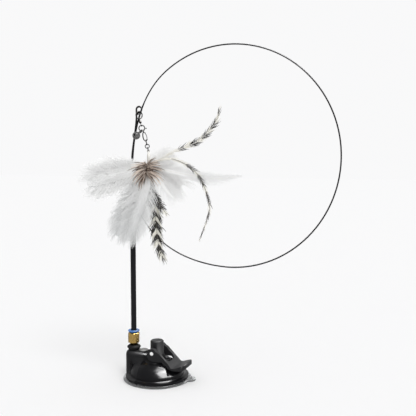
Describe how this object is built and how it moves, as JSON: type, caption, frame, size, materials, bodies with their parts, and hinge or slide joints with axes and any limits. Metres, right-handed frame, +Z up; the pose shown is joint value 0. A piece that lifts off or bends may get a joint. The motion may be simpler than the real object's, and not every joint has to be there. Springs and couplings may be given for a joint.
{
  "type": "feather teaser wand",
  "caption": "Pet teaser with a lever suction base, a push-in wand, a springy wire hoop, and a swivel chain that carries a bell and a bundle of feathers.",
  "frame": {"origin": "on the surface that the suction cup stands on, at the wand's axis, which falls within the cup's flat lip", "axes": "+Z up along the wand, +X from the wand to the middle of the cup and on into the hoop, -Y the side that the chain and feathers hang on"},
  "size_m": [0.286, 0.075, 0.3615],
  "materials": {
    "clear": "clear soft vinyl, glossy",
    "housing": "glossy black moulding",
    "moulding": "satin black moulding",
    "plug": "dull grey cap",
    "brass": "turned and milled brass",
    "blue": "satin blue moulding",
    "rubber": "dull black rubber",
    "tube": "satin black plastic tube",
    "wire": "dark drawn spring steel",
    "steel": "bright plated steel",
    "dark_steel": "darker plated steel",
    "thread": "white wound thread",
    "plume": "soft white down feather",
    "hackle": "barred black and white hackle feather",
    "tuft": "brown feather barbs"
  },
  "bodies": {
    "base": {"suction_disc": "clear", "housing": "housing", "ridge_plug": "plug", "collar_nut": "rubber", "fitting_body": "brass", "seal_ring": "rubber"},
    "plunger": {"plunger": "moulding", "lever_pin": "steel"},
    "lever": {"lever": "moulding"},
    "collar": {"release_collar": "blue"},
    "gripper": {"gripper_ring": "steel"},
    "wand": {"wand_tube": "tube", "wire_plug": "rubber", "wire_root": "wire"},
    "hoop": {"spring_wire": "wire"},
    "top_link": {"top_ring": "steel", "swivel_eye": "dark_steel"},
    "swivel": {"swivel_barrel": "dark_steel"},
    "clasp": {"clasp_ring": "steel", "clasp_trigger": "steel"},
    "bell": {"bell_ring": "steel", "bell_eye": "steel", "bell_shell": "steel"},
    "ball": {"bell_ball": "dark_steel"},
    "hook": {"hook": "dark_steel"},
    "gate": {"hook_gate": "steel"},
    "links": {"long_link": "dark_steel", "drop_ring": "steel"},
    "feathers": {"low_ring": "steel", "binding": "thread", "feather_knot": "thread", "brown_tuft": "tuft", "plume_left": "plume", "plume_lower_left": "plume", "plume_lower_middle": "plume", "plume_right": "plume", "plume_far_right": "plume", "plume_top": "plume", "plume_small": "plume", "hackle_up": "hackle", "hackle_right": "hackle", "hackle_down": "hackle", "hackle_short": "hackle"}
  },
  "joints": [
    {"name": "plunger_drop", "type": "slide", "parent": "base", "child": "plunger", "axis": [0, 0, -1], "range_m": [0, 0.0032], "deforming": ["suction_disc"]},
    {"name": "lever_lift", "type": "hinge", "parent": "plunger", "child": "lever", "pos_m": [0.0285, 0, 0.0314], "axis": [0, -1, 0], "range_deg": [0, 100]},
    {"name": "collar_press", "type": "slide", "parent": "base", "child": "collar", "axis": [0, 0, 1], "range_m": [-0.001, 0], "stiffness_N_per_m": 300},
    {"name": "wand_turn", "type": "hinge", "parent": "base", "child": "gripper", "pos_m": [0, 0, 0.0401], "axis": [0, 0, 1], "continuous": true},
    {"name": "wand_pull", "type": "slide", "parent": "gripper", "child": "wand", "axis": [0, 0, 1], "range_m": [0, 0.02]},
    {"name": "wire_flex", "type": "hinge", "parent": "wand", "child": "hoop", "pos_m": [0, 0, 0.1933], "axis": [0, 1, 0], "range_deg": [-15, 15], "stiffness_Nm_per_rad": 0.15, "springref_deg": -2.98},
    {"name": "toy_swing", "type": "hinge", "parent": "hoop", "child": "top_link", "pos_m": [0.011, -0.0046, 0.2964], "axis": [0, -1, 0], "range_deg": [0, 25]},
    {"name": "swivel_turn", "type": "hinge", "parent": "top_link", "child": "swivel", "pos_m": [0.01189, -0.00494, 0.28452], "axis": [0.4061, -0.1523, -0.901], "range_deg": [-12, 2.5]},
    {"name": "clasp_nod", "type": "hinge", "parent": "swivel", "child": "clasp", "pos_m": [0.0142, -0.0058, 0.2794], "axis": [-0.9397, -0.342, 0], "range_deg": [0, 35]},
    {"name": "bell_swing", "type": "hinge", "parent": "clasp", "child": "bell", "pos_m": [0.014, -0.00587, 0.27332], "axis": [-0.9156, -0.3333, 0.225], "range_deg": [0, 50]},
    {"name": "ball_roll", "type": "hinge", "parent": "bell", "child": "ball", "pos_m": [0.0111, -0.012, 0.2683], "axis": [0.342, -0.9397, 0], "range_deg": [-60, 60]},
    {"name": "hook_nod", "type": "hinge", "parent": "clasp", "child": "hook", "pos_m": [0.01616, -0.00509, 0.27368], "axis": [-0.8055, -0.2932, -0.515], "range_deg": [0, 20]},
    {"name": "gate_open", "type": "hinge", "parent": "hook", "child": "gate", "pos_m": [0.01989, -0.00373, 0.2655], "axis": [0.342, -0.9397, 0], "range_deg": [0, 20], "stiffness_Nm_per_rad": 0.001},
    {"name": "link_swing", "type": "hinge", "parent": "hook", "child": "links", "pos_m": [0.01875, -0.00415, 0.26263], "axis": [0, -1, 0], "range_deg": [0, 10]},
    {"name": "feather_nod", "type": "hinge", "parent": "links", "child": "feathers", "pos_m": [0.02077, -0.00401, 0.2548], "axis": [-1, 0, 0], "range_deg": [0, 30]}
  ],
  "couplings": [
    {"joint": "lever_lift", "follows": "plunger_drop", "rad_per_m": 545.4}
  ]
}
